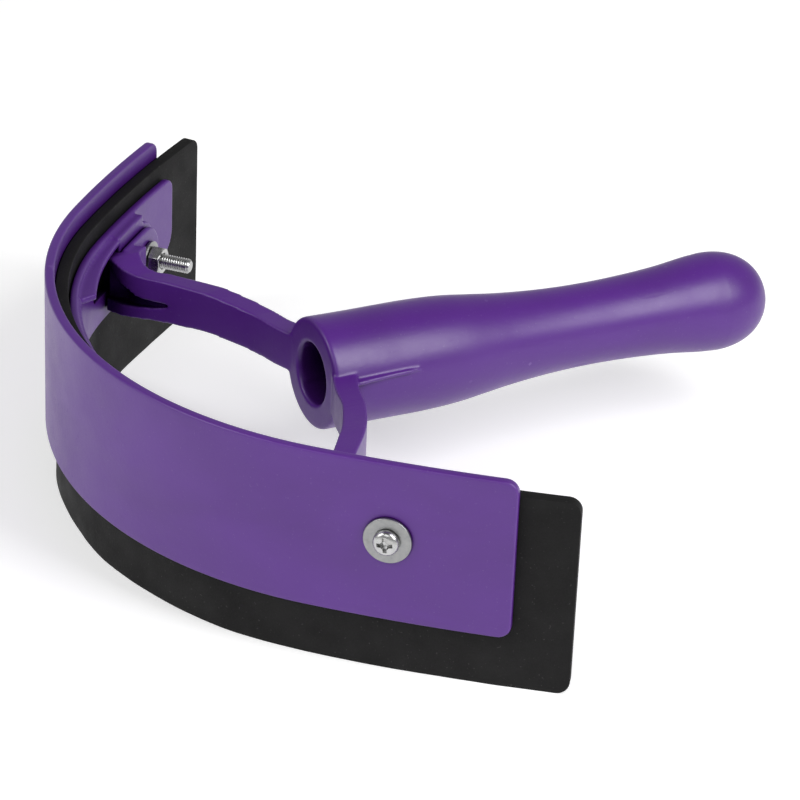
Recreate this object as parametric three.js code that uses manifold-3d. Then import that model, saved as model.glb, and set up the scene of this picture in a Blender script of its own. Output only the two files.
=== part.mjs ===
// Horse sweat scraper: a bowed rubber wiper blade clamped between two moulded plastic bands,
// carried on a two-armed yoke with a hollow grip. Millimetres, +Z up, +X along the grip.
// The scraper stands on the lower edge of the rubber, which lies in the plane Z = 0.
import * as THREE from 'three';
import { mergeVertices } from 'three/addons/utils/BufferGeometryUtils.js';
import Module from 'manifold-3d';

const wasm = await Module();
wasm.setup();

// Overall layout
const TOTAL_LENGTH = 235.17;
const GAP = 0.3;

// Bow of the blade: the outer face follows a tight middle arc and two gentle end arcs
const MIDDLE_RADIUS = 120.4;
const MIDDLE_HALF_ANGLE = THREE.MathUtils.degToRad(44.7);
const END_RADIUS = 489;
const BOW_STEP = 6.5;

// Layers: depth behind the outer face, reach along the bow either side of its middle, height range
const BAND = { depth: [0, 3], s: [-153.4, 150.4], z: [16.6, 66.6], corner: 4, soft: 0.7 };
const RUBBER = { depth: [3.3, 7.1], s: [-170.6, 170.6], z: [-1.1, 60.9], corner: 4, soft: 0.35 };
const PLATE = { depth: [7.4, 10], s: [-148, 148], z: [28.6, 56.1], soft: 0.4 };
const PLATE_TOP_CORNER = 4;
const PLATE_LOW_CORNER = 10;
const PLATE_MIDDLE = { depth: 11.1, half: 52, z: [28.6, 55.2] };
const LEDGE = { s: [51.5, 99.7], skew: 5.3, depth: [15.3, 12.9], z: [52.4, 54.5] };
const SHELF = { s: [99.6, 119], depth: 13, z: [51, 55.2] };
const BOSS = { s: [99.6, 128.2], depth: 13, z: [30.6, 52.6], corner: 10.9 };
const WINDOW = { s: [83.5, 99.3], z: [38, 51.4] };

// Bolted joints
const BOLT_S = 117.4;
const BOLT_Z = { left: 41.1, right: 43 };
const BOLT_D = 4.8;
const HOLE_D = 5.4;
const THREAD_PITCH = 0.8;
const SCREW_TIP = 30.1;
const THREAD_START = 21.6;
const HEAD_D = 7.8;
const HEAD_H = 2.5;
const RECESS = { length: 4.8, width: 1.1, depth: 1.3, turn: -0.1 };
const HEAD_WASHER_D = 14.1;
const NUT_WASHER_D = 11.4;
const WASHER_T = 1;
const NUT_FLATS = 8;
const NUT_H = 3.9;

// Yoke: two arms that spread from the grip and end in round-ended feet
const FOOT = { depth: [13.3, 15.3], end: 126.7, z: [32.1, 51.1], corner: 9.4 };
const ARM_FRONT = [[79, 5], [77, 13], [74.1, 21.5], [72.1, 30], [69.9, 35], [67.4, 40], [64.6, 45],
  [61.1, 50], [57.5, 55], [53.8, 60], [49.3, 65.3], [45.3, 71], [43.2, 76.4]];
const ARM_BACK = [[53.3, 74.2], [53.6, 70], [55.6, 67.1], [58.5, 64.8], [62.1, 60.1], [66.2, 55],
  [69.9, 50], [72.9, 45], [75.5, 40], [77.6, 35], [79.3, 30], [80.5, 25], [81.8, 21.5], [87, 8]];
const ARM_SIDE = [[0, 34, 46.8], [16, 34, 46.6], [25, 33.8, 46.4], [31, 33.7, 46.4], [37.5, 33.9, 46.8],
  [43.3, 34.2, 47.2], [48.5, 34.4, 47.7], [58.4, 33.8, 47.8], [63, 33.5, 47.7], [67, 33, 47.9],
  [72, 32.3, 49], [77, 31.9, 50.6], [112, 31.9, 50.6]];
const POCKET_WALL = [[60.2, 50], [58.9, 55.2], [54, 62.8], [50.2, 69.4], [49.1, 74.6]];
const POCKET_SIDE = [[54, 40.2, 40.6], [57.5, 39.8, 40.4], [60.3, 38.7, 40.1], [63, 37.8, 40.1],
  [65.6, 37.4, 40.3], [67.1, 37, 40.7], [69.4, 36.7, 42.3], [71.9, 36.4, 43.7], [73.9, 36.4, 44.9],
  [75.4, 36.3, 46.1], [76.4, 36.3, 47.6], [77.4, 36.3, 49.2], [90, 36.3, 49.2]];
const RIB = { x: [80, 105], z: [43.8, 45], reach: [18.8, 18.1, 17.5] };

// Grip: hollow turned shape, open at the yoke and closed at the bulb
const GRIP_X = 76.7;
const GRIP_Z = 40.3;
const GRIP_DROOP = THREE.MathUtils.degToRad(1.15);
const GRIP_LENGTH = 158.5;
const GRIP_RADII = [[1.1, 17.3], [12, 17.2], [24, 17.25], [33, 17.25], [41, 17], [47.4, 16.55],
  [56, 15.5], [65, 14.4], [79, 13.25], [93.3, 12.8], [107.7, 13.05], [122.3, 13.95], [134, 15.3]];
const BULB_START = 139.5;
const BULB_RADIUS = 15.7;
const BULB_POWER = 0.9;
const BORE_RADIUS = 9.6;
const BORE_END = 150;

const PLASTIC = { color: 0x5a2f8f, roughness: 0.38, metalness: 0 };
const RUBBER_LOOK = { color: 0x161616, roughness: 0.75, metalness: 0 };
const STEEL = { color: 0xc9ccd0, roughness: 0.3, metalness: 1 };

const group = new THREE.Group();
group.name = 'sweat_scraper';

// Point on the bow at distance s from its middle, moved inwards by depth
function bowFrame(s) {
  const side = s < 0 ? -1 : 1;
  const a = Math.abs(s);
  const middle = MIDDLE_RADIUS * MIDDLE_HALF_ANGLE;
  let angle = a / MIDDLE_RADIUS;
  let x = MIDDLE_RADIUS * (1 - Math.cos(angle));
  let y = MIDDLE_RADIUS * Math.sin(angle);
  if (a > middle) {
    const start = MIDDLE_HALF_ANGLE;
    angle = start + (a - middle) / END_RADIUS;
    x = MIDDLE_RADIUS * (1 - Math.cos(start)) + END_RADIUS * (Math.cos(start) - Math.cos(angle));
    y = MIDDLE_RADIUS * Math.sin(start) + END_RADIUS * (Math.sin(angle) - Math.sin(start));
  }
  return {
    point: new THREE.Vector3(x, side * y, 0),
    along: new THREE.Vector3(side * Math.sin(angle), Math.cos(angle), 0),
    inward: new THREE.Vector3(Math.cos(angle), -side * Math.sin(angle), 0),
  };
}

function bowPoint(s, depth) {
  const frame = bowFrame(s);
  return frame.point.addScaledVector(frame.inward, depth);
}

// Solid conversions between three.js geometry and manifold
function solid(geometry) {
  const bare = geometry.clone();
  bare.deleteAttribute('normal');
  bare.deleteAttribute('uv');
  const merged = mergeVertices(bare, 1e-4);
  const mesh = new wasm.Mesh({
    numProp: 3,
    vertProperties: Float32Array.from(merged.attributes.position.array),
    triVerts: Uint32Array.from(merged.index.array),
  });
  mesh.merge();
  return new wasm.Manifold(mesh);
}

function geometryOf(body) {
  const mesh = body.getMesh();
  const geometry = new THREE.BufferGeometry();
  geometry.setAttribute('position', new THREE.Float32BufferAttribute(mesh.vertProperties, 3));
  geometry.setIndex(new THREE.Uint32BufferAttribute(mesh.triVerts, 1));
  geometry.computeVertexNormals();
  return geometry;
}

// Upright prism over a plan outline, with softened top and bottom edges
function prism(points, z0, z1, soft = 0) {
  const shape = new THREE.Shape(points.map((p) => new THREE.Vector2(p.x, p.y)));
  const geometry = new THREE.ExtrudeGeometry(shape, {
    depth: z1 - z0 - 2 * soft,
    bevelEnabled: soft > 0,
    bevelSize: soft,
    bevelThickness: soft,
    bevelOffset: -soft,
    bevelSegments: 1,
  });
  geometry.translate(0, 0, z0 + soft);
  return solid(geometry);
}

// Strip that follows the bow between two distances; its inner depth may taper and its inner side
// may start further along by skew
function strip(s0, s1, outer, inner0, inner1, z0, z1, soft = 0, skew = 0) {
  const steps = Math.max(2, Math.ceil((s1 - s0) / BOW_STEP));
  const outerSide = [];
  const innerSide = [];
  for (let i = 0; i <= steps; i += 1) {
    const t = i / steps;
    const s = s0 + (s1 - s0) * t;
    outerSide.push(bowPoint(s, outer));
    innerSide.push(bowPoint(s + skew * (1 - t), inner0 + (inner1 - inner0) * t));
  }
  return prism([...innerSide, ...outerSide.reverse()], z0, z1, soft);
}

// Tool that rounds one corner of a strip end, seen square to the strip
function cornerTool(s, z, up, radius) {
  const side = Math.sign(s);
  const shape = new THREE.Shape();
  const over = radius + 3;
  shape.moveTo(-radius, 0);
  shape.absarc(-radius, -radius, radius, Math.PI / 2, 0, true);
  shape.lineTo(over, -radius);
  shape.lineTo(over, over);
  shape.lineTo(-radius, over);
  const geometry = new THREE.ExtrudeGeometry(shape, {
    depth: 24, bevelEnabled: false, curveSegments: 7,
  });
  geometry.translate(0, 0, -12);
  const frame = bowFrame(s);
  const u = frame.along.clone().multiplyScalar(side);
  const v = new THREE.Vector3(0, 0, up);
  const w = new THREE.Vector3().crossVectors(u, v);
  const place = new THREE.Matrix4().makeBasis(u, v, w);
  place.setPosition(bowPoint(s, 8).setZ(z));
  geometry.applyMatrix4(place);
  return solid(geometry);
}

function roundEnds(body, ends, z, topRadius, lowRadius) {
  let result = body;
  for (const s of ends) {
    result = result.subtract(cornerTool(s, z[1], 1, topRadius));
    result = result.subtract(cornerTool(s, z[0], -1, lowRadius));
  }
  return result;
}

// Turns a shape drawn along +Z so that it runs inwards along a bolt, starting at a given depth
function boltPlace(side, depth) {
  const frame = bowFrame(side * BOLT_S);
  const w = frame.inward.clone();
  const v = new THREE.Vector3(0, 0, 1);
  const u = new THREE.Vector3().crossVectors(v, w);
  const place = new THREE.Matrix4().makeBasis(u, v, w);
  const height = side > 0 ? BOLT_Z.left : BOLT_Z.right;
  place.setPosition(bowPoint(side * BOLT_S, depth).setZ(height));
  return place;
}

function onBolt(geometry, side, depth) {
  return solid(geometry.clone().applyMatrix4(boltPlace(side, depth)));
}

function lathe(points, segments) {
  const geometry = new THREE.LatheGeometry(points.map((p) => new THREE.Vector2(p[0], p[1])), segments);
  geometry.rotateX(Math.PI / 2);
  return geometry;
}

function drill(body) {
  let result = body;
  for (const side of [-1, 1]) {
    const hole = new THREE.CylinderGeometry(HOLE_D / 2, HOLE_D / 2, 40, 20);
    hole.rotateX(Math.PI / 2);
    result = result.subtract(onBolt(hole, side, 10));
  }
  return result;
}

function mirrored(body) {
  return body.mirror([0, 1, 0]);
}

function layer(spec) {
  return strip(spec.s[0], spec.s[1], spec.depth[0], spec.depth[1], spec.depth[1],
    spec.z[0], spec.z[1], spec.soft);
}

function outerBand() {
  return drill(roundEnds(layer(BAND), BAND.s, BAND.z, BAND.corner, BAND.corner));
}

function rubberBlade() {
  return drill(roundEnds(layer(RUBBER), RUBBER.s, RUBBER.z, RUBBER.corner, RUBBER.corner));
}

// Inner clamp plate: thicker in the middle, with a ledge, a window and a bolt boss on each side
function clampPlate() {
  let body = roundEnds(layer(PLATE), PLATE.s, PLATE.z, PLATE_TOP_CORNER, PLATE_LOW_CORNER);
  const back = PLATE.depth[1] - 0.6;
  body = body.add(strip(-PLATE_MIDDLE.half, PLATE_MIDDLE.half, back, PLATE_MIDDLE.depth,
    PLATE_MIDDLE.depth, PLATE_MIDDLE.z[0], PLATE_MIDDLE.z[1], 0.3));
  const ledge = strip(LEDGE.s[0], LEDGE.s[1], back, LEDGE.depth[0], LEDGE.depth[1],
    LEDGE.z[0], LEDGE.z[1], 0.3, LEDGE.skew);
  let boss = strip(BOSS.s[0], BOSS.s[1], back, BOSS.depth, BOSS.depth, BOSS.z[0], BOSS.z[1]);
  boss = boss.subtract(cornerTool(BOSS.s[1], BOSS.z[1], 1, BOSS.corner));
  boss = boss.subtract(cornerTool(BOSS.s[1], BOSS.z[0], -1, BOSS.corner));
  const shelf = strip(SHELF.s[0], SHELF.s[1], back, SHELF.depth, SHELF.depth, SHELF.z[0], SHELF.z[1]);
  const opening = strip(WINDOW.s[0], WINDOW.s[1], 6, 12, 12, WINDOW.z[0], WINDOW.z[1]);
  for (const item of [ledge, shelf, boss]) {
    body = body.add(item).add(mirrored(item));
  }
  body = body.subtract(opening).subtract(mirrored(opening));
  return drill(body);
}

function smooth(points, steps) {
  const path = new THREE.CatmullRomCurve3(points.map((p) => new THREE.Vector3(p[0], p[1], 0)));
  path.curveType = 'centripetal';
  return path.getPoints(steps);
}

// Prism along X over a side outline given as [y, low z, high z]
function sidePrism(rows) {
  const low = rows.map((r) => new THREE.Vector2(r[0], r[1]));
  const high = rows.map((r) => new THREE.Vector2(r[0], r[2]));
  const shape = new THREE.Shape([...low, ...high.reverse()]);
  const geometry = new THREE.ExtrudeGeometry(shape, { depth: 120, bevelEnabled: false });
  const place = new THREE.Matrix4().makeBasis(
    new THREE.Vector3(0, 1, 0), new THREE.Vector3(0, 0, 1), new THREE.Vector3(1, 0, 0));
  geometry.applyMatrix4(place);
  return solid(geometry);
}

// One arm of the yoke with its foot: channel section, open towards the blade
function yokeArm() {
  const heel = [bowPoint(94.2, 10.9), bowPoint(96.8, 10.35), bowPoint(98.7, 10.7), bowPoint(99.2, 12),
    bowPoint(99.3, FOOT.depth[0])];
  const front = [...smooth(ARM_FRONT, 16), ...heel];
  const back = smooth([[57.4, 79.8], [54.2, 77.6], ...ARM_BACK], 18);
  const toe = [bowPoint(101.5, FOOT.depth[0]), bowPoint(106, FOOT.depth[0]), bowPoint(106, FOOT.depth[1])];
  let arm = prism([...front, ...toe, ...back], 20, 60);
  const foot = strip(100, FOOT.end, FOOT.depth[0], FOOT.depth[1], FOOT.depth[1], FOOT.z[0], FOOT.z[1]);
  const round = [cornerTool(FOOT.end, FOOT.z[1], 1, FOOT.corner),
    cornerTool(FOOT.end, FOOT.z[0], -1, FOOT.corner)];
  arm = arm.intersect(sidePrism(ARM_SIDE));
  const wall = smooth(POCKET_WALL, 8);
  const mouth = [new THREE.Vector3(44, 79.4, 0), new THREE.Vector3(30, 79, 0), new THREE.Vector3(30, 50, 0)];
  const pocket = prism([...wall, ...mouth], 20, 60).intersect(sidePrism(POCKET_SIDE));
  arm = arm.subtract(pocket);
  return arm.add(foot.subtract(round[0]).subtract(round[1]));
}

function ribPair() {
  const points = [new THREE.Vector3(RIB.x[0], 14, 0), new THREE.Vector3(RIB.x[1], 14, 0),
    new THREE.Vector3(RIB.x[1], RIB.reach[2], 0), new THREE.Vector3(RIB.x[0] + 11, RIB.reach[1], 0),
    new THREE.Vector3(RIB.x[0] + 3, RIB.reach[0], 0), new THREE.Vector3(RIB.x[0], RIB.reach[0], 0)];
  const one = prism(points, RIB.z[0], RIB.z[1]);
  return one.add(mirrored(one));
}

function gripGeometry() {
  const outer = [];
  for (let i = 0; i <= 7; i += 1) {
    const turn = (i / 7) * Math.PI / 2;
    const along = BULB_START + (GRIP_LENGTH - BULB_START) * Math.cos(turn) ** BULB_POWER;
    outer.push([BULB_RADIUS * Math.sin(turn) ** BULB_POWER, along]);
  }
  outer[0][0] = 0;
  const knots = [...GRIP_RADII, [BULB_START, BULB_RADIUS]];
  const body = smooth(knots.map((k) => [k[1], k[0]]), 17).map((p) => [p.x, p.y]);
  const rim = [[17, 0.35], [16.2, 0]];
  const bore = [[BORE_RADIUS + 0.6, 0], [BORE_RADIUS, 0.8], [BORE_RADIUS - 0.5, BORE_END - 8],
    [BORE_RADIUS - 2.6, BORE_END - 2.6], [BORE_RADIUS - 6, BORE_END - 0.3], [0, BORE_END]];
  const profile = [...outer, ...body.reverse().slice(1), ...rim, ...bore];
  const geometry = lathe(profile.reverse(), 36);
  const place = new THREE.Matrix4().makeBasis(
    new THREE.Vector3(0, 1, 0), new THREE.Vector3(0, 0, 1), new THREE.Vector3(1, 0, 0));
  geometry.applyMatrix4(place);
  geometry.rotateY(GRIP_DROOP);
  geometry.translate(GRIP_X, 0, GRIP_Z);
  return geometry;
}

function boreGeometry() {
  const geometry = new THREE.CylinderGeometry(BORE_RADIUS - 0.2, BORE_RADIUS - 0.2, 60, 36);
  geometry.rotateZ(Math.PI / 2);
  geometry.rotateY(GRIP_DROOP);
  geometry.translate(GRIP_X + 20, 0, GRIP_Z);
  return geometry;
}

function handleYoke() {
  const arm = yokeArm();
  let body = arm.add(mirrored(arm)).add(ribPair());
  body = body.subtract(solid(boreGeometry()));
  body = body.add(solid(gripGeometry()));
  return drill(body);
}

// Pan-head machine screw with annular thread ridges and a cross recess
function screw(side) {
  const r = BOLT_D / 2;
  const head = -WASHER_T - 2 * GAP;
  const points = [[0, head - HEAD_H], [1.6, head - HEAD_H + 0.06], [2.8, head - HEAD_H + 0.35],
    [3.5, head - HEAD_H + 0.85], [HEAD_D / 2, head - HEAD_H + 1.6], [HEAD_D / 2, head - 0.15],
    [HEAD_D / 2 - 0.15, head], [r, head], [r, THREAD_START]];
  for (let d = THREAD_START; d < SCREW_TIP - 1.4; d += THREAD_PITCH) {
    points.push([r - 0.42, d + THREAD_PITCH / 2], [r, d + THREAD_PITCH]);
  }
  points.push([r - 0.8, SCREW_TIP], [0, SCREW_TIP]);
  let body = onBolt(lathe(points, 16), side, 0);
  for (const turn of [0, Math.PI / 2]) {
    const slot = new THREE.BoxGeometry(RECESS.length, RECESS.width, RECESS.depth * 2);
    slot.rotateZ(turn + RECESS.turn);
    body = body.subtract(onBolt(slot, side, head - HEAD_H));
  }
  return body;
}

function washer(side, depth, width) {
  const r = width / 2;
  const soft = 0.12;
  const hole = HOLE_D / 2;
  const points = [[hole, 0], [hole, WASHER_T], [r - soft, WASHER_T], [r, WASHER_T - soft],
    [r, soft], [r - soft, 0], [hole, 0]];
  return onBolt(lathe(points.reverse(), 30), side, depth);
}

function nut(side, depth) {
  const corner = NUT_FLATS / Math.sqrt(3);
  const shape = new THREE.Shape();
  for (let i = 0; i < 6; i += 1) {
    const a = (i * Math.PI) / 3 + Math.PI / 2;
    shape[i ? 'lineTo' : 'moveTo'](corner * Math.cos(a), corner * Math.sin(a));
  }
  const prismGeometry = new THREE.ExtrudeGeometry(shape, { depth: NUT_H, bevelEnabled: false });
  const flat = NUT_FLATS / 2;
  const rim = 0.42;
  const cone = lathe([[0, NUT_H], [flat, NUT_H], [corner + 0.1, NUT_H - rim], [corner + 0.1, rim],
    [flat, 0], [0, 0]].reverse(), 24);
  const body = onBolt(prismGeometry, side, depth).intersect(onBolt(cone, side, depth));
  const hole = new THREE.CylinderGeometry(HOLE_D / 2, HOLE_D / 2, 20, 20);
  hole.rotateX(Math.PI / 2);
  return body.subtract(onBolt(hole, side, depth));
}

function place(name, body, look) {
  const material = new THREE.MeshStandardMaterial(look);
  const geometry = geometryOf(body);
  geometry.translate(-TOTAL_LENGTH / 2, 0, -RUBBER.z[0]);
  const mesh = new THREE.Mesh(geometry, material);
  mesh.name = name;
  group.add(mesh);
}

place('handle_yoke', handleYoke(), PLASTIC);
place('clamp_plate', clampPlate(), PLASTIC);
place('rubber_blade', rubberBlade(), RUBBER_LOOK);
place('outer_band', outerBand(), PLASTIC);

const innerWasher = FOOT.depth[1] + GAP;
for (const [name, side] of [['left', 1], ['right', -1]]) {
  place(`screw_${name}`, screw(side), STEEL);
  place(`head_washer_${name}`, washer(side, -GAP - WASHER_T, HEAD_WASHER_D), STEEL);
  place(`nut_washer_${name}`, washer(side, innerWasher, NUT_WASHER_D), STEEL);
  place(`nut_${name}`, nut(side, innerWasher + WASHER_T + GAP), STEEL);
}

export default group;
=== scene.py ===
"""Horse sweat scraper: purple moulded clamp bands and hollow grip, black rubber blade, zinc bolts."""
import math

import bmesh
import bpy
import numpy as np
from mathutils import Matrix, Vector, noise


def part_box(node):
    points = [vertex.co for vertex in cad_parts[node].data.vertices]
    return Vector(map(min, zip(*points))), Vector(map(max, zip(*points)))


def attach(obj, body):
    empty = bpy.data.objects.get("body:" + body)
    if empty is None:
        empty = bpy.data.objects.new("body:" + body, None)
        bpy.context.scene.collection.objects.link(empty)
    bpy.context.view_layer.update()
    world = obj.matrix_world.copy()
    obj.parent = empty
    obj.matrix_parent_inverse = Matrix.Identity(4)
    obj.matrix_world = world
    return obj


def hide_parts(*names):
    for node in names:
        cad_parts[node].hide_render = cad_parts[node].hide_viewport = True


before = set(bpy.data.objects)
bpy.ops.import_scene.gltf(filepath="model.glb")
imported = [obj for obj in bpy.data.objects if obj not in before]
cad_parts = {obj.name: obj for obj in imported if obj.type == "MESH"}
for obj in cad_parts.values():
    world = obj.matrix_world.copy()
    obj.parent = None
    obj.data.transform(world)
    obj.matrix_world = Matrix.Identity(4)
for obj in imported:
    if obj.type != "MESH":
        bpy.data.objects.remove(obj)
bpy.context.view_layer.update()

MM = 0.001

# The bow's apex and the standing edge, taken from the CAD boxes (mm)
APEX_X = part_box("outer_band")[0].x / MM
BLADE_LOW = -1.1
FLOOR_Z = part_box("rubber_blade")[0].z / MM - BLADE_LOW

# Bow of the outer band's outer face (mm): a tight middle arc and two gentle end arcs
MIDDLE_RADIUS = 120.4
MIDDLE_ANGLE = math.radians(44.7)
END_RADIUS = 489.0

BAND_Z = (16.6, 66.6)
FOOT_DEPTH = (13.3, 15.3)

# Bolts (mm): place along the bow, height by side (1 left, -1 right), depths inwards from the bow
BOLT_S, BOLT_Z = 117.4, {1: 41.1, -1: 43}
HOLE_RADIUS = 2.7
HEAD_WASHER_DEPTH, HEAD_WASHER_RADIUS = -1.3, 7.05
NUT_WASHER_DEPTH, NUT_WASHER_RADIUS = 15.6, 5.7
NUT_DEPTH, NUT_FLAT, NUT_HEIGHT, NUT_BORE = 16.9, 4.0, 3.9, 2.52
NUT_CHAMFER = (0.0, 0.1, 0.2, 0.3, 0.4, 0.5, 0.6)
HEAD_UNDER, HEAD_TOP = -1.6, -4.1
THREAD_START, SCREW_TIP = 12, 30.1
THREAD_PITCH, THREAD_RADIUS, THREAD_DEPTH = 0.8, 2.38, 0.44
RECESS_TURN = -0.1

# Grip (mm): start, axis height, droop, outline as (along, radius)
GRIP_X, GRIP_Z = 76.7, 40.3
GRIP_DROOP = math.radians(1.15)
GRIP_LENGTH = 158.5
GRIP_KNOTS = [(1.1, 17.3), (12, 17.2), (24, 17.25), (33, 17.25), (41, 17), (47.4, 16.55),
              (56, 15.5), (65, 14.4), (79, 13.25), (93.3, 12.8), (107.7, 13.05),
              (122.3, 13.95), (134, 15.3), (139.5, 15.7)]
BULB_START, BULB_RADIUS, BULB_POWER = 139.5, 15.7, 0.9
BORE_RADIUS, BORE_END = 9.6, 150.0

# Where the remeshed grip is put back on its outline, and the lengths over which that fades (mm)
TRUE_START, TRUE_FADE_IN, TRUE_END, TRUE_FADE_OUT = 24, 8, 146, 6

VOXEL = 0.42

# The photograph's camera: angles in degrees, offset in mm, focal length and width in pixels
CAMERA_AZIMUTH, CAMERA_ELEVATION, CAMERA_ROLL = -28.089, 28.323, 2.468
CAMERA_SHIFT = (-96.035, -27.110, -1098.041)
CAMERA_FOCAL, PHOTO_WIDTH, SENSOR_WIDTH = 3709.45, 800, 36


# ---------------------------------------------------------------- geometry helpers

def bow_frame(s):
    """Point and inward direction (x, y) on the outer face, s mm from its middle."""
    side = -1.0 if s < 0 else 1.0
    a = abs(s)
    middle = MIDDLE_RADIUS * MIDDLE_ANGLE
    if a <= middle:
        ang = a / MIDDLE_RADIUS
        x = MIDDLE_RADIUS * (1 - math.cos(ang))
        y = MIDDLE_RADIUS * math.sin(ang)
    else:
        ang = MIDDLE_ANGLE + (a - middle) / END_RADIUS
        x = (MIDDLE_RADIUS * (1 - math.cos(MIDDLE_ANGLE))
             + END_RADIUS * (math.cos(MIDDLE_ANGLE) - math.cos(ang)))
        y = (MIDDLE_RADIUS * math.sin(MIDDLE_ANGLE)
             + END_RADIUS * (math.sin(ang) - math.sin(MIDDLE_ANGLE)))
    return (x, side * y), (math.cos(ang), -side * math.sin(ang))


def bow(s, depth):
    """Plan point (x, y) s mm along the bow and depth mm inwards from it."""
    point, inward = bow_frame(s)
    return (point[0] + depth * inward[0], point[1] + depth * inward[1])


def to_frame(p):
    """Millimetres from the bow's apex to metres in the row frame."""
    return ((p[0] + APEX_X) * MM, p[1] * MM, (p[2] + FLOOR_Z) * MM)


def linked(name, data):
    """A new object in the scene, holding the given mesh, light or camera."""
    obj = bpy.data.objects.new(name, data)
    bpy.context.scene.collection.objects.link(obj)
    return obj


def local_object(name, points, faces, weld=1e-8):
    """Mesh object from points in metres, welded and with its normals outwards."""
    mesh = bpy.data.meshes.new(name)
    mesh.from_pydata(points, [], faces)
    bm = bmesh.new()
    bm.from_mesh(mesh)
    bmesh.ops.remove_doubles(bm, verts=bm.verts, dist=weld)
    bmesh.ops.recalc_face_normals(bm, faces=bm.faces)
    bm.to_mesh(mesh)
    bm.free()
    return linked(name, mesh)


def mesh_object(name, points, faces):
    """Mesh object from points in mm from the bow's apex."""
    return local_object(name, [to_frame(p) for p in points], faces, 1e-7)


def settle(obj):
    """Replaces an object's mesh by the result of its modifiers."""
    bpy.context.view_layer.update()
    graph = bpy.context.evaluated_depsgraph_get()
    mesh = bpy.data.meshes.new_from_object(obj.evaluated_get(graph))
    old = obj.data
    obj.modifiers.clear()
    obj.data = mesh
    mesh.name = obj.name
    bpy.data.meshes.remove(old)
    return obj


def discard(obj):
    mesh = obj.data
    bpy.data.objects.remove(obj)
    bpy.data.meshes.remove(mesh)


def combine(obj, tool, operation):
    modifier = obj.modifiers.new("cut", "BOOLEAN")
    modifier.operation = operation
    modifier.solver = "EXACT"
    modifier.object = tool
    settle(obj)
    discard(tool)
    return obj


def joined(name, objects):
    """One object holding the meshes of several, which are removed."""
    bm = bmesh.new()
    for obj in objects:
        bm.from_mesh(obj.data)
    mesh = bpy.data.meshes.new(name)
    bm.to_mesh(mesh)
    bm.free()
    for obj in objects:
        discard(obj)
    return linked(name, mesh)


def mirrored(obj):
    copy = linked(obj.name + "_m", obj.data.copy())
    copy.data.transform(Matrix.Diagonal((1, -1, 1, 1)))
    copy.data.flip_normals()
    return copy


def moulded(obj, smoothing):
    """Fuses overlapping shapes into one skin with moulded fillets."""
    remesh = obj.modifiers.new("skin", "REMESH")
    remesh.mode = "VOXEL"
    remesh.voxel_size = VOXEL * MM
    smooth = obj.modifiers.new("fillets", "SMOOTH")
    smooth.factor = 0.5
    smooth.iterations = smoothing
    return settle(obj)


def shade(obj, angle=None):
    for face in obj.data.polygons:
        face.use_smooth = True
    if angle is not None:
        bm = bmesh.new()
        bm.from_mesh(obj.data)
        for edge in bm.edges:
            if len(edge.link_faces) == 2 and edge.calc_face_angle(0) > math.radians(angle):
                edge.smooth = False
        bm.to_mesh(obj.data)
        bm.free()
    return obj


def between(name, near, far):
    """Prism between two like outlines."""
    count = len(near)
    faces = [tuple(range(count))[::-1], tuple(range(count, 2 * count))]
    faces += [(i, (i + 1) % count, count + (i + 1) % count, count + i) for i in range(count)]
    return mesh_object(name, near + far, faces)


def prism(name, outline, z0, z1):
    """Upright prism over a plan outline of (x, y)."""
    return between(name, [(x, y, z0) for x, y in outline], [(x, y, z1) for x, y in outline])


def side_prism(name, rows):
    """Prism along X over a side outline given as (y, low z, high z)."""
    outline = [(y, low) for y, low, _ in rows] + [(y, high) for y, _, high in reversed(rows)]
    return between(name, [(0.0, y, z) for y, z in outline], [(120.0, y, z) for y, z in outline])


def spline(points, steps):
    """Centripetal Catmull-Rom curve through 2-D points."""
    pts = [np.array(p, float) for p in points]
    pts = [2 * pts[0] - pts[1]] + pts + [2 * pts[-1] - pts[-2]]
    out = []
    segments = len(pts) - 3
    for n in range(steps + 1):
        t = n / steps * segments
        i = min(int(t), segments - 1)
        u = t - i
        p0, p1, p2, p3 = pts[i:i + 4]
        k1 = max(np.linalg.norm(p1 - p0), 1e-9) ** 0.5
        k2 = k1 + max(np.linalg.norm(p2 - p1), 1e-9) ** 0.5
        k3 = k2 + max(np.linalg.norm(p3 - p2), 1e-9) ** 0.5
        x = k1 + u * (k2 - k1)
        a1 = (k1 - x) / k1 * p0 + x / k1 * p1
        a2 = (k2 - x) / (k2 - k1) * p1 + (x - k1) / (k2 - k1) * p2
        a3 = (k3 - x) / (k3 - k2) * p2 + (x - k2) / (k3 - k2) * p3
        b1 = (k2 - x) / k2 * a1 + x / k2 * a2
        b2 = (k3 - x) / (k3 - k1) * a2 + (x - k1) / (k3 - k1) * a3
        out.append(tuple((k2 - x) / (k2 - k1) * b1 + (x - k1) / (k2 - k1) * b2))
    return out


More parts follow.
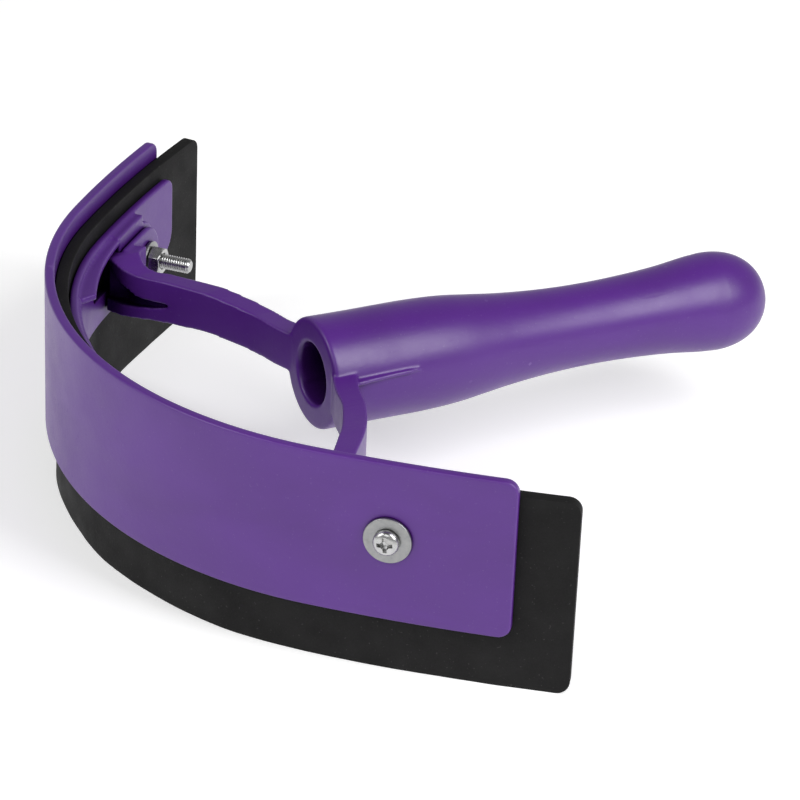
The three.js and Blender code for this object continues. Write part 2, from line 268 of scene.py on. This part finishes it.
def strip(name, s, depth, z, soft, corners=((0, 0), (0, 0)), taper=None, step=1.6, rows=12,
          bend=None, skew=0.0):
    """Strip along the bow with rounded ends and edges.

    s, depth and z are (from, to); corners holds the (top, low) radius at each end; taper is the
    inner depth at the far end; bend(s, z) moves the strip inwards; skew makes the inner side start
    that much further along.
    """
    (s0, s1), (z0, z1) = s, z
    turns = 9
    radii = [[max(r, soft + 0.05) for r in pair] for pair in corners]
    rim = []
    for i in range(6):
        phi = i / 5 * math.pi / 2
        rim.append((soft * (1 - math.sin(phi)), soft * (1 - math.cos(phi))))
    rings = [(inset, rise, 0) for inset, rise in rim]
    rings += [(inset, rise, 1) for inset, rise in reversed(rim)]
    count = max(2, round((s1 - s0) / step))

    def ends(level):
        """Top or low edge as (s centre, z centre, radius, angle from straight up) by column."""
        left, right = radii[0][level], radii[1][level]
        zc = (z1 - left, z1 - right) if level == 0 else (z0 + left, z0 + right)
        cols = []
        for i in range(turns):
            cols.append((s0 + left, zc[0], left, -math.pi / 2 * (1 - i / turns)))
        for i in range(count + 1):
            t = i / count
            cols.append((s0 + left + (s1 - right - s0 - left) * t, None, None, 0.0))
        for i in range(1, turns + 1):
            cols.append((s1 - right, zc[1], right, math.pi / 2 * i / turns))
        return cols

    tops, lows = ends(0), ends(1)

    def edge(col, level, inset):
        centre, zc, radius, turn = col
        up = 1 if level == 0 else -1
        if radius is None:
            return centre, (z1 - inset) if level == 0 else (z0 + inset)
        reach = radius - inset
        return centre + reach * math.sin(turn), zc + up * reach * math.cos(turn)

    def point(i, j, k):
        inset, rise, back = rings[j]
        st, zt = edge(tops[i], 0, inset)
        sl, zl = edge(lows[i], 1, inset)
        t = k / rows
        sp, zp = st + (sl - st) * t, zt + (zl - zt) * t
        inner = depth[1]
        if taper is not None:
            inner += (taper - depth[1]) * (sp - s0) / (s1 - s0)
        d = inner - rise if back else depth[0] + rise
        if bend is not None:
            d += bend(sp, zp)
        if back:
            sp += skew * (s1 - sp) / (s1 - s0)
        x, y = bow(sp, d)
        return x, y, zp

    last = len(rings) - 1
    keys = ([(0, k) for k in range(rows + 1)] + [(j, rows) for j in range(1, last + 1)]
            + [(last, k) for k in range(rows - 1, -1, -1)]
            + [(j, 0) for j in range(last - 1, 0, -1)])
    points, number, faces = [], {}, []
    columns = len(tops)
    for i in range(columns):
        for key in keys:
            number[(i,) + key] = len(points)
            points.append(point(i, *key))
    for i in range(columns - 1):
        for a, b in zip(keys, keys[1:] + keys[:1]):
            faces.append((number[(i,) + a], number[(i,) + b],
                          number[(i + 1,) + b], number[(i + 1,) + a]))
    for i in (0, columns - 1):
        for j in range(1, last):
            for k in range(1, rows):
                number[(i, j, k)] = len(points)
                points.append(point(i, j, k))
        for j in range(last):
            for k in range(rows):
                faces.append((number[(i, j, k)], number[(i, j, k + 1)],
                              number[(i, j + 1, k + 1)], number[(i, j + 1, k)]))
    return mesh_object(name, points, faces)


def turned(name, profile, segments):
    """Closed solid of revolution about Z in metres; the profile is (radius, height) in mm."""
    points, faces, first = [], [], []
    for r, h in profile:
        first.append((len(points), r < 1e-6))
        around = 1 if r < 1e-6 else segments
        for n in range(around):
            a = 2 * math.pi * n / segments
            points.append((r * math.cos(a) * MM, r * math.sin(a) * MM, h * MM))
    pairs = list(zip(first, first[1:]))
    if profile[0][0] > 1e-6:
        pairs.append((first[-1], first[0]))
    for (a, a_pole), (b, b_pole) in pairs:
        for n in range(segments):
            m = (n + 1) % segments
            if a_pole and b_pole:
                continue
            if a_pole:
                faces.append((a, b + n, b + m))
            elif b_pole:
                faces.append((a + n, a + m, b))
            else:
                faces.append((a + n, a + m, b + m, b + n))
    return local_object(name, points, faces)


def bolt_matrix(side, depth=0.0):
    """Local +Z runs inwards along a bolt; local +Y is up."""
    _, inward = bow_frame(side * BOLT_S)
    x, y = bow(side * BOLT_S, depth)
    w = Vector((inward[0], inward[1], 0))
    v = Vector((0, 0, 1))
    u = v.cross(w)
    matrix = Matrix((u, v, w)).transposed().to_4x4()
    matrix.translation = Vector(to_frame((x, y, BOLT_Z[side])))
    return matrix


def drilled(obj):
    for side in (-1, 1):
        tool = turned("hole", [(0, -12), (HOLE_RADIUS, -12), (HOLE_RADIUS, 26), (0, 26)], 48)
        tool.data.transform(bolt_matrix(side))
        combine(obj, tool, "DIFFERENCE")
    return obj


def wobble(point, size, amount):
    """Smooth, repeatable unevenness between -amount and amount."""
    return amount * noise.noise(Vector(point) / size)


# ---------------------------------------------------------------- moulded band and rubber blade

def band_bend(s, z):
    """Slight unevenness of the moulded band (mm)."""
    return wobble((s, 0, z), 45, 0.05)


band = strip("band_outer", (-153.4, 150.4), (0, 3), BAND_Z, 0.75,
             ((4, 4), (4, 4)), step=1.5, rows=34, bend=band_bend)
shade(drilled(band), 40)


def lip_bend(s, z):
    """Waviness of the blade's free lip, growing towards the wiping edge (mm)."""
    free = max(0.0, (14 - z) / 14)
    return free * (wobble((s, 3.7, z), 26, 0.5) + wobble((s, 9.1, z), 9, 0.12))


blade = strip("blade_rubber", (-170.6, 170.6), (3.3, 7.1), (BLADE_LOW, 60.9), 0.3,
              ((4, 4), (4, 4)), step=1.3, rows=44, bend=lip_bend)
shade(drilled(blade), 40)


# ---------------------------------------------------------------- clamp plate

def clamp_plate():
    plate = strip("plate", (-148, 148), (7.4, 10), (28.6, 56.1), 0.5, ((4, 10), (4, 10)), rows=16)
    window = strip("window", (83.5, 99.3), (5, 12), (38, 51.4), 0.3, ((1.2, 2.6), (1.2, 1.2)))
    other = mirrored(window)
    combine(plate, window, "DIFFERENCE")
    combine(plate, other, "DIFFERENCE")
    parts = [plate, strip("pad", (-52, 52), (9.2, 11.1), (28.6, 55.2), 0.3)]
    raised = [
        strip("ledge", (51.5, 99.9), (9.2, 15.3), (52.4, 54.5), 0.3, taper=12.9, skew=5.3),
        strip("shelf", (99.6, 119), (9.2, 13), (51, 55.2), 0.3),
        strip("boss", (99.6, 128.2), (9.2, 13), (30.6, 52.6), 0.4, ((0, 0), (10.9, 10.9))),
    ]
    parts += raised + [mirrored(item) for item in raised]
    whole = []
    for item in parts:
        whole.append(drilled(item) if item.name.startswith(("plate", "boss")) else item)
    return moulded(joined("clamp_inner", whole), 5)


clamp = shade(clamp_plate())


# ---------------------------------------------------------------- yoke and grip

# Left arm (mm): plan as (x, y), heights as (y, low z, high z); the pocket hollows its elbow
ARM_FRONT = [(79, 5), (77, 13), (74.1, 21.5), (72.1, 30), (69.9, 35), (67.4, 40), (64.6, 45),
             (61.1, 50), (57.5, 55), (53.8, 60), (49.3, 65.3), (45.3, 71), (43.2, 76.4)]
ARM_BACK = [(57.4, 79.8), (54.2, 77.6), (53.3, 74.2), (53.6, 70), (55.6, 67.1), (58.5, 64.8),
            (62.1, 60.1), (66.2, 55), (69.9, 50), (72.9, 45), (75.5, 40), (77.6, 35), (79.3, 30),
            (80.5, 25), (81.8, 21.5), (87, 8)]
ARM_SIDE = [(0, 34, 46.8), (16, 34, 46.6), (25, 33.8, 46.4), (31, 33.7, 46.4), (37.5, 33.9, 46.8),
            (43.3, 34.2, 47.2), (48.5, 34.4, 47.7), (58.4, 33.8, 47.8), (63, 33.5, 47.7), (67, 33, 47.9),
            (72, 32.3, 49), (77, 31.9, 50.6), (112, 31.9, 50.6)]
POCKET_WALL = [(60.2, 50), (58.9, 55.2), (54, 62.8), (50.2, 69.4), (49.1, 74.6)]
POCKET_SIDE = [(54, 40.2, 40.6), (57.5, 39.8, 40.4), (60.3, 38.7, 40.1), (63, 37.8, 40.1),
               (65.6, 37.4, 40.3), (67.1, 37, 40.7), (69.4, 36.7, 42.3), (71.9, 36.4, 43.7),
               (73.9, 36.4, 44.9), (75.4, 36.3, 46.1), (76.4, 36.3, 47.6), (77.4, 36.3, 49.2),
               (90, 36.3, 49.2)]


def grip_matrix():
    """Local +Z along the grip, local +Y up, in metres."""
    axis = Vector((math.cos(GRIP_DROOP), 0, -math.sin(GRIP_DROOP)))
    side = Vector((0, 1, 0))
    up = axis.cross(side)
    matrix = Matrix((side, up, axis)).transposed().to_4x4()
    matrix.translation = Vector(to_frame((GRIP_X, 0, GRIP_Z)))
    return matrix


def grip_outline():
    """Dense table of (along, radius) from the open end to the tip of the bulb."""
    body = spline(GRIP_KNOTS, 160)
    tip = []
    for i in range(1, 41):
        turn = math.pi / 2 * (1 - i / 40)
        tip.append((BULB_START + (GRIP_LENGTH - BULB_START) * math.cos(turn) ** BULB_POWER,
                    BULB_RADIUS * math.sin(turn) ** BULB_POWER))
    return body + tip


OUTLINE = grip_outline()


def arm():
    """The left arm and its drilled foot."""
    heel = [bow(94.2, 10.9), bow(96.8, 10.35), bow(98.7, 10.7), bow(99.2, 12),
            bow(99.3, FOOT_DEPTH[0])]
    toe = [bow(101.5, FOOT_DEPTH[0]), bow(106, FOOT_DEPTH[0]), bow(106, FOOT_DEPTH[1])]
    outline = spline(ARM_FRONT, 60) + heel + toe + spline(ARM_BACK, 70)
    body = prism("arm", outline, 20, 60)
    combine(body, side_prism("side", ARM_SIDE), "INTERSECT")
    mouth = [(44, 79.4), (30, 79), (30, 50)]
    pocket = prism("pocket", spline(POCKET_WALL, 40) + mouth, 20, 60)
    combine(pocket, side_prism("pocket_side", POCKET_SIDE), "INTERSECT")
    combine(body, pocket, "DIFFERENCE")
    foot = strip("foot", (100, 126.7), FOOT_DEPTH, (32.1, 51.1), 0.6, ((0, 0), (9.4, 9.4)))
    return body, drilled(foot)


def rib():
    """Flat rib in the corner between the left arm and the grip."""
    outline = [(80, 14), (105, 14), (105, 17.5), (91, 18.1), (83, 18.8), (80, 18.8)]
    return prism("rib", outline, 43.8, 45)


def handle_yoke():
    body, foot = arm()
    cutter = BORE_RADIUS - 0.2
    bore_tool = turned("bore", [(0, -30), (cutter, -30), (cutter, 50), (0, 50)], 96)
    bore_tool.data.transform(grip_matrix())
    side_parts = [body, foot, rib()]
    parts = side_parts + [mirrored(item) for item in side_parts]
    cut = []
    for item in parts:
        cut.append(combine(item, linked("bore_copy", bore_tool.data.copy()), "DIFFERENCE"))
    discard(bore_tool)
    outer = [(r, a) for a, r in OUTLINE]
    outer[-1] = (0.0, GRIP_LENGTH)
    bore = [(0, BORE_END), (BORE_RADIUS - 6, BORE_END - 0.3), (BORE_RADIUS - 2.6, BORE_END - 2.6),
            (BORE_RADIUS - 0.5, BORE_END - 8), (BORE_RADIUS, 0.8), (BORE_RADIUS + 0.6, 0),
            (16.2, 0), (17, 0.35)]
    grip = turned("grip", bore + outer, 160)
    grip.data.transform(grip_matrix())
    whole = moulded(joined("handle_grip", cut + [grip]), 6)
    true_grip(whole)
    return whole


def true_grip(obj):
    """Puts the turned surface back on its exact outline, away from the arms."""
    place = grip_matrix()
    back = place.inverted()
    count = len(obj.data.vertices)
    co = np.empty(count * 3)
    obj.data.vertices.foreach_get("co", co)
    co = np.c_[co.reshape(-1, 3), np.ones(count)] @ np.array(back).T
    along, radius = co[:, 2] / MM, np.hypot(co[:, 0], co[:, 1]) / MM
    table = np.array(OUTLINE)
    target = np.interp(along, table[:, 0], table[:, 1])
    part = np.clip((along - TRUE_START) / TRUE_FADE_IN, 0, 1)
    part *= np.clip((TRUE_END - along) / TRUE_FADE_OUT, 0, 1)
    part *= (np.abs(radius - target) < 0.8)
    new = radius + (target - radius) * part
    scale = new / np.maximum(radius, 1e-6)
    co[:, 0] *= scale
    co[:, 1] *= scale
    co = co @ np.array(place).T
    obj.data.vertices.foreach_set("co", co[:, :3].ravel())
    obj.data.update()


handle = shade(handle_yoke())


# ---------------------------------------------------------------- fasteners

def washer(name, side, depth, rim):
    hole = HOLE_RADIUS
    profile = [(hole + 0.1, 0), (hole, 0.12), (hole, 0.9), (hole + 0.08, 1.0)]
    profile += [(rim - 0.12, 1.0), (rim - 0.03, 0.96), (rim, 0.88)]
    for i in range(1, 7):
        turn = math.pi / 2 * i / 6
        profile.append((rim - 0.34 * (1 - math.cos(turn)), 0.34 * (1 - math.sin(turn))))
    obj = turned(name, profile, 120)
    obj.matrix_world = bolt_matrix(side, depth)
    return shade(obj, 35)


def nut(name, side, depth):
    flat, height, bore = NUT_FLAT, NUT_HEIGHT, NUT_BORE
    corner = flat * 2 / math.sqrt(3)
    segments = 144
    rings = [("bore", bore + 0.3, 0.0), ("bore", bore, 0.3), ("bore", bore, height - 0.3),
             ("bore", bore + 0.3, height)]
    for h in NUT_CHAMFER:
        rings.append(("flat", flat - 0.12 + h * 1.45, height - h))
    rings.append(("flat", corner + 1, height / 2))
    for h in reversed(NUT_CHAMFER):
        rings.append(("flat", flat - 0.12 + h * 1.45, h))
    points, faces = [], []
    for kind, limit, h in rings:
        for n in range(segments):
            a = 2 * math.pi * n / segments
            r = limit
            if kind == "flat":
                off = (a + math.pi / 6) % (math.pi / 3) - math.pi / 6
                hexagon = min(flat / math.cos(off), corner - 0.1)
                r = min(limit, hexagon)
            points.append((r * math.cos(a) * MM, r * math.sin(a) * MM, h * MM))
    total = len(rings)
    for i in range(total):
        for n in range(segments):
            m = (n + 1) % segments
            a, b = i * segments, ((i + 1) % total) * segments
            faces.append((a + n, a + m, b + m, b + n))
    obj = local_object(name, points, faces)
    obj.matrix_world = bolt_matrix(side, depth)
    return shade(obj, 28)


def thread_rows(start, tip, segments):
    """Helical 60 degree thread as rows of (radius, height) by angle."""
    pitch, major, cut = THREAD_PITCH, THREAD_RADIUS, THREAD_DEPTH
    count = int((tip - start) / pitch * 10)
    rows = []
    for i in range(count + 1):
        h = start + (tip - start) * i / count
        row = []
        for n in range(segments):
            phase = (h / pitch - n / segments) % 1.0
            tooth = min(1.0, 1.25 * abs(phase - 0.5) * 2)
            r = major - cut * (1 - tooth)
            lead = min(1.0, (tip - h) / 0.7)
            r = min(r, major - 0.6 * (1 - lead))
            fade = min(1.0, (h - start) / 0.9)
            r = major + (r - major) * fade
            row.append((r, h))
        rows.append(row)
    return rows


def screw(name, side):
    segments = 48
    under, top = HEAD_UNDER, HEAD_TOP
    head = [(0.0, top), (1.0, top + 0.01), (1.8, top + 0.07), (2.5, top + 0.22),
            (3.05, top + 0.45), (3.45, top + 0.78), (3.72, top + 1.2), (3.85, top + 1.7),
            (3.9, top + 2.1), (3.9, under - 0.16), (3.85, under - 0.05), (3.74, under),
            (2.6, under), (THREAD_RADIUS, under + 0.2)]
    points, faces, rows = [(0, 0, top * MM)], [], []
    table = [[pair] * segments for pair in head[1:]]
    table += thread_rows(THREAD_START, SCREW_TIP, segments)
    table.append([(1.3, SCREW_TIP)] * segments)
    for row in table:
        rows.append(len(points))
        for n, (r, h) in enumerate(row):
            a = 2 * math.pi * n / segments
            points.append((r * math.cos(a) * MM, r * math.sin(a) * MM, h * MM))
    for n in range(segments):
        faces.append((0, rows[0] + n, rows[0] + (n + 1) % segments))
    for a, b in zip(rows, rows[1:]):
        for n in range(segments):
            m = (n + 1) % segments
            faces.append((a + n, a + m, b + m, b + n))
    points.append((0, 0, SCREW_TIP * MM))
    for n in range(segments):
        faces.append((len(points) - 1, rows[-1] + n, rows[-1] + (n + 1) % segments))
    obj = local_object(name, points, faces)
    wide, narrow, half_width, deep = 2.6, 1.7, 0.66, 1.4
    sides = [(0, 1, 2, 3), (4, 5, 6, 7), (0, 1, 5, 4), (1, 2, 6, 5), (2, 3, 7, 6), (3, 0, 4, 7)]
    for turn in (RECESS_TURN, RECESS_TURN + math.pi / 2):
        outline = []
        for z, reach, half in ((top - 0.4, wide, half_width),
                               (top + deep, narrow, half_width * 0.7)):
            for x, y in ((-reach, -half), (reach, -half), (reach, half), (-reach, half)):
                outline.append((x * math.cos(turn) - y * math.sin(turn),
                                x * math.sin(turn) + y * math.cos(turn), z))
        tool = local_object("recess", [tuple(c * MM for c in p) for p in outline], sides)
        combine(obj, tool, "DIFFERENCE")
    cone = [(0, top - 0.4), (1.5, top - 0.4), (0.8, top + 1.5), (0, top + 1.8)]
    combine(obj, turned("centre", cone, 32), "DIFFERENCE")
    obj.matrix_world = bolt_matrix(side)
    return shade(obj, 32)


fasteners = []
for label, side in (("left", 1), ("right", -1)):
    fasteners += [
        (screw(f"bolt_{label}", side), f"screw_{label}", "turned"),
        (washer(f"washer_head_{label}", side, HEAD_WASHER_DEPTH, HEAD_WASHER_RADIUS),
         f"head_washer_{label}", "stamped"),
        (washer(f"washer_nut_{label}", side, NUT_WASHER_DEPTH, NUT_WASHER_RADIUS),
         f"nut_washer_{label}", "stamped"),
        (nut(f"hexnut_{label}", side, NUT_DEPTH), f"nut_{label}", "turned"),
    ]


# ---------------------------------------------------------------- materials

class Nodes:
    """Small helper around a material's node tree."""

    def __init__(self, name):
        self.material = bpy.data.materials.new(name)
        self.material.use_nodes = True
        self.tree = self.material.node_tree
        self.shader = self.tree.nodes["Principled BSDF"]
        self.coords = self.tree.nodes.new("ShaderNodeTexCoord").outputs["Object"]

    def new(self, kind, **values):
        node = self.tree.nodes.new(kind)
        for key, value in values.items():
            setattr(node, key, value)
        return node

    def feed(self, target, source):
        if hasattr(source, "is_output"):
            self.tree.links.new(source, target)
        else:
            target.default_value = source

    def stretch(self, scale, rotation=(0, 0, 0)):
        node = self.new("ShaderNodeMapping")
        self.feed(node.inputs["Vector"], self.coords)
        node.inputs["Scale"].default_value = scale
        node.inputs["Rotation"].default_value = rotation
        return node.outputs["Vector"]

    def noise(self, scale, detail=2.0, rough=0.5, vector=None, distortion=0.0):
        node = self.new("ShaderNodeTexNoise")
        self.feed(node.inputs["Vector"], vector or self.coords)
        node.inputs["Scale"].default_value = scale
        node.inputs["Detail"].default_value = detail
        node.inputs["Roughness"].default_value = rough
        node.inputs["Distortion"].default_value = distortion
        return node.outputs["Fac"]

    def span(self, source, low, high, out_low=0.0, out_high=1.0):
        node = self.new("ShaderNodeMapRange", clamp=True)
        self.feed(node.inputs["Value"], source)
        for key, value in (("From Min", low), ("From Max", high),
                           ("To Min", out_low), ("To Max", out_high)):
            node.inputs[key].default_value = value
        return node.outputs["Result"]

    def math(self, operation, a, b=0.0):
        node = self.new("ShaderNodeMath", operation=operation)
        self.feed(node.inputs[0], a)
        self.feed(node.inputs[1], b)
        return node.outputs[0]

    def mix(self, factor, a, b):
        node = self.new("ShaderNodeMix", data_type="RGBA")
        self.feed(node.inputs[0], factor)
        self.feed(node.inputs[6], a)
        self.feed(node.inputs[7], b)
        return node.outputs[2]

    def bump(self, height, strength, distance, normal=None):
        node = self.new("ShaderNodeBump")
        self.feed(node.inputs["Height"], height)
        node.inputs["Strength"].default_value = strength
        node.inputs["Distance"].default_value = distance
        if normal is not None:
            self.feed(node.inputs["Normal"], normal)
        return node.outputs["Normal"]

    def set(self, **values):
        for key, value in values.items():
            self.feed(self.shader.inputs[key.replace("_", " ")], value)


def plastic():
    """Satin purple moulding: flow marks, orange peel, scratches, pale edges, painted shade darkening
    recesses and dimming their reflection.
    """
    n = Nodes("moulded_purple_plastic")
    edge = n.span(n.new("ShaderNodeNewGeometry").outputs["Pointiness"], 0.515, 0.58)
    flow = n.noise(22, 3, 0.5, n.stretch((1, 1, 2.4)), 0.6)
    base = n.mix(n.span(flow, 0.3, 0.7), (0.072, 0.010, 0.190, 1), (0.085, 0.013, 0.224, 1))
    worn = n.math("MULTIPLY", edge, n.span(n.noise(140, 4), 0.35, 0.75, 0.1, 0.55))
    colour = n.mix(worn, base, (0.235, 0.135, 0.40, 1))
    speck = n.span(n.noise(1500, 1, 0.4), 0.71, 0.77, 0.0, 0.16)
    colour = n.mix(speck, colour, (0.22, 0.16, 0.32, 1))
    # Painted shade: ambient occlusion darkens the colour to near black in recesses such as the bore and
    # the arm pockets
    recess_painted_shade = n.new("ShaderNodeAmbientOcclusion", samples=8)
    recess_painted_shade.inputs["Distance"].default_value = 0.03
    colour = n.mix(n.span(recess_painted_shade.outputs["AO"], 0.2, 0.72), (0.004, 0.0015, 0.008, 1), colour)
    # Painted shade on the reflection: the same occlusion turns the specular level down to nothing in
    # recesses
    shade_dimmed_shine = n.span(recess_painted_shade.outputs["AO"], 0.3, 0.7, 0.0, 0.5)
    scuff = n.noise(1, 3, 0.6, n.stretch((60, 900, 420), (0.2, 0.5, 0.7)), 0.4)
    scratch = n.span(scuff, 0.665, 0.70)
    peel = n.noise(620, 3, 0.45)
    grain = n.noise(3200, 2, 0.5)
    rough = n.math("ADD", n.span(n.noise(70, 4, 0.6), 0.3, 0.7, 0.33, 0.42),
                   n.span(grain, 0.3, 0.7, -0.03, 0.04))
    rough = n.math("ADD", rough, n.math("MULTIPLY", scratch, 0.09))
    normal = n.bump(peel, 0.16, 0.0002)
    normal = n.bump(grain, 0.12, 0.00006, normal)
    normal = n.bump(scratch, 0.10, 0.00004, normal)
    n.set(Base_Color=colour, Roughness=rough, Normal=normal, Specular_IOR_Level=shade_dimmed_shine, IOR=1.53)
    return n.material


def rubber():
    """Matt black rubber: fine grain, pale bloom and dust, rubbed towards the wiping edge."""
    n = Nodes("black_blade_rubber")
    height = n.new("ShaderNodeSeparateXYZ")
    n.feed(height.inputs[0], n.coords)
    lip = n.span(height.outputs["Z"], 0.012, 0.0, 0.0, 1.0)
    bloom = n.span(n.noise(55, 5, 0.6), 0.42, 0.75, 0.0, 0.55)
    rubbed = n.span(n.noise(160, 4), 0.4, 0.7, 0.0, 0.5)
    bloom = n.math("ADD", bloom, n.math("MULTIPLY", lip, rubbed))
    colour = n.mix(bloom, (0.0066, 0.0064, 0.0066, 1), (0.0135, 0.013, 0.0135, 1))
    dust = n.span(n.noise(1300, 1, 0.3), 0.72, 0.78, 0.0, 0.22)
    colour = n.mix(dust, colour, (0.10, 0.095, 0.095, 1))
    grain = n.noise(1900, 3, 0.55)
    drag = n.noise(1, 3, 0.6, n.stretch((700, 700, 45)), 0.2)
    rough = n.math("ADD", n.span(n.noise(90, 4), 0.3, 0.7, 0.58, 0.74),
                   n.span(grain, 0.3, 0.7, -0.04, 0.05))
    normal = n.bump(grain, 0.30, 0.00012)
    normal = n.bump(n.span(drag, 0.45, 0.75), 0.10, 0.00008, normal)
    n.set(Base_Color=colour, Roughness=rough, Normal=normal, Specular_IOR_Level=0.18)
    return n.material


def steel(name, rings, dull, bright, gloss):
    """Zinc-plated steel: fine turning rings or pressing marks round the bolt, slight stains."""
    n = Nodes(name)
    parts = n.new("ShaderNodeSeparateXYZ")
    n.feed(parts.inputs[0], n.coords)
    square = n.math("ADD", n.math("MULTIPLY", parts.outputs["X"], parts.outputs["X"]),
                    n.math("MULTIPLY", parts.outputs["Y"], parts.outputs["Y"]))
    radius = n.math("SQRT", square)
    joint = n.new("ShaderNodeCombineXYZ")
    n.feed(joint.inputs[0], n.math("MULTIPLY", radius, rings))
    n.feed(joint.inputs[1], n.math("MULTIPLY", parts.outputs["Z"], rings))
    groove = n.noise(1, 2, 0.6, joint.outputs[0])
    patch = n.noise(420, 4, 0.6)
    colour = n.mix(n.span(patch, 0.3, 0.7), dull, bright)
    stain = n.span(n.noise(260, 5, 0.65), 0.58, 0.75, 0.0, 0.5)
    colour = n.mix(stain, colour, (0.24, 0.23, 0.22, 1))
    rough = n.math("ADD", n.span(patch, 0.3, 0.7, gloss, gloss + 0.1),
                   n.math("MULTIPLY", stain, 0.25))
    rough = n.math("ADD", rough, n.span(groove, 0.3, 0.7, -0.04, 0.06))
    normal = n.bump(groove, 0.22, 0.00006)
    normal = n.bump(n.noise(2600, 3), 0.15, 0.00005, normal)
    n.set(Base_Color=colour, Roughness=rough, Normal=normal, Metallic=1.0)
    return n.material


PLASTIC = plastic()
RUBBER = rubber()
STEEL = {
    "turned": steel("zinc_turned", 9000,
                    (0.42, 0.425, 0.43, 1), (0.56, 0.56, 0.55, 1), 0.18),
    "stamped": steel("zinc_stamped", 5200,
                     (0.26, 0.265, 0.27, 1), (0.34, 0.34, 0.335, 1), 0.27),
}

pieces = [
    (band, "outer_band", "moulded_plastic", PLASTIC),
    (clamp, "clamp_plate", "moulded_plastic", PLASTIC),
    (handle, "handle_yoke", "moulded_plastic", PLASTIC),
    (blade, "rubber_blade", "blade_rubber", RUBBER),
]
pieces += [(obj, node, "zinc_steel", STEEL[kind]) for obj, node, kind in fasteners]
for obj, node, slot, material in pieces:
    obj.data.materials.clear()
    obj.data.materials.append(material)
    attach(obj, "root")
    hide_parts(node)


# ---------------------------------------------------------------- stage, light and camera

def floor():
    """Round, pale, slightly glowing table."""
    reach, sides = 2.4, 72
    points, faces = [(0, 0, 0)], []
    for n in range(sides):
        a = 2 * math.pi * n / sides
        points.append((reach * math.cos(a), reach * math.sin(a), 0))
        faces.append((0, 1 + n, 1 + (n + 1) % sides))
    obj = local_object("floor", points, faces)
    n = Nodes("pale_floor")
    tone = n.span(n.noise(3, 2), 0.3, 0.7)
    n.set(Base_Color=n.mix(tone, (0.80, 0.80, 0.80, 1), (0.82, 0.82, 0.82, 1)),
          Roughness=0.9, Emission_Color=(1, 1, 1, 1), Emission_Strength=0.42)
    obj.data.materials.append(n.material)


def softbox(name, location, target, size, power):
    light = bpy.data.lights.new(name, "AREA")
    light.shape = "RECTANGLE"
    light.size, light.size_y = size
    light.energy = power
    obj = linked(name, light)
    obj.location = location
    obj.rotation_mode = "QUATERNION"
    obj.rotation_quaternion = (Vector(target) - Vector(location)).to_track_quat("-Z", "Y")


def camera():
    """Camera at the photograph's angle: long lens, from the front left and above."""
    azimuth, elevation = math.radians(CAMERA_AZIMUTH), math.radians(CAMERA_ELEVATION)
    roll = math.radians(CAMERA_ROLL)
    back = Vector((math.sin(azimuth) * math.cos(elevation),
                   -math.cos(azimuth) * math.cos(elevation), math.sin(elevation)))
    right = Vector((math.cos(azimuth), math.sin(azimuth), 0))
    up = back.cross(right)
    turn = Matrix((right * math.cos(roll) + up * math.sin(roll),
                   up * math.cos(roll) - right * math.sin(roll), back))
    place = -(turn.transposed() @ Vector(CAMERA_SHIFT))
    data = bpy.data.cameras.new("camera")
    data.sensor_width = SENSOR_WIDTH
    data.lens = CAMERA_FOCAL / PHOTO_WIDTH * SENSOR_WIDTH
    data.clip_start, data.clip_end = 0.05, 20
    obj = linked("camera", data)
    matrix = turn.transposed().to_4x4()
    matrix.translation = Vector(to_frame(place + Vector((0, 0, BAND_Z[0]))))
    obj.matrix_world = matrix
    bpy.context.scene.camera = obj


def studio_world():
    """Pale surroundings, dimmer overhead than at the horizon."""
    world = bpy.data.worlds.new("studio")
    world.use_nodes = True
    tree = world.node_tree
    coords = tree.nodes.new("ShaderNodeTexCoord")
    split = tree.nodes.new("ShaderNodeSeparateXYZ")
    ramp = tree.nodes.new("ShaderNodeMapRange")
    tree.links.new(coords.outputs["Generated"], split.inputs[0])
    tree.links.new(split.outputs["Z"], ramp.inputs["Value"])
    for key, value in (("From Min", 0.0), ("From Max", 0.9), ("To Min", 0.50), ("To Max", 0.18)):
        ramp.inputs[key].default_value = value
    background = tree.nodes["Background"]
    background.inputs["Color"].default_value = (1, 1, 1, 1)
    tree.links.new(ramp.outputs["Result"], background.inputs["Strength"])
    bpy.context.scene.world = world


floor()
camera()
studio_world()
softbox("key", (0.50, -0.86, 0.98), (0.02, 0, 0.04), (0.60, 0.95), 14.0)
softbox("left", (-0.95, 0.12, 0.72), (-0.05, 0, 0.04), (0.5, 0.7), 4.0)
softbox("fill", (-0.75, -0.70, 0.95), (-0.05, 0, 0.04), (0.6, 0.6), 2.2)
bpy.context.scene.view_settings.view_transform = "Standard"
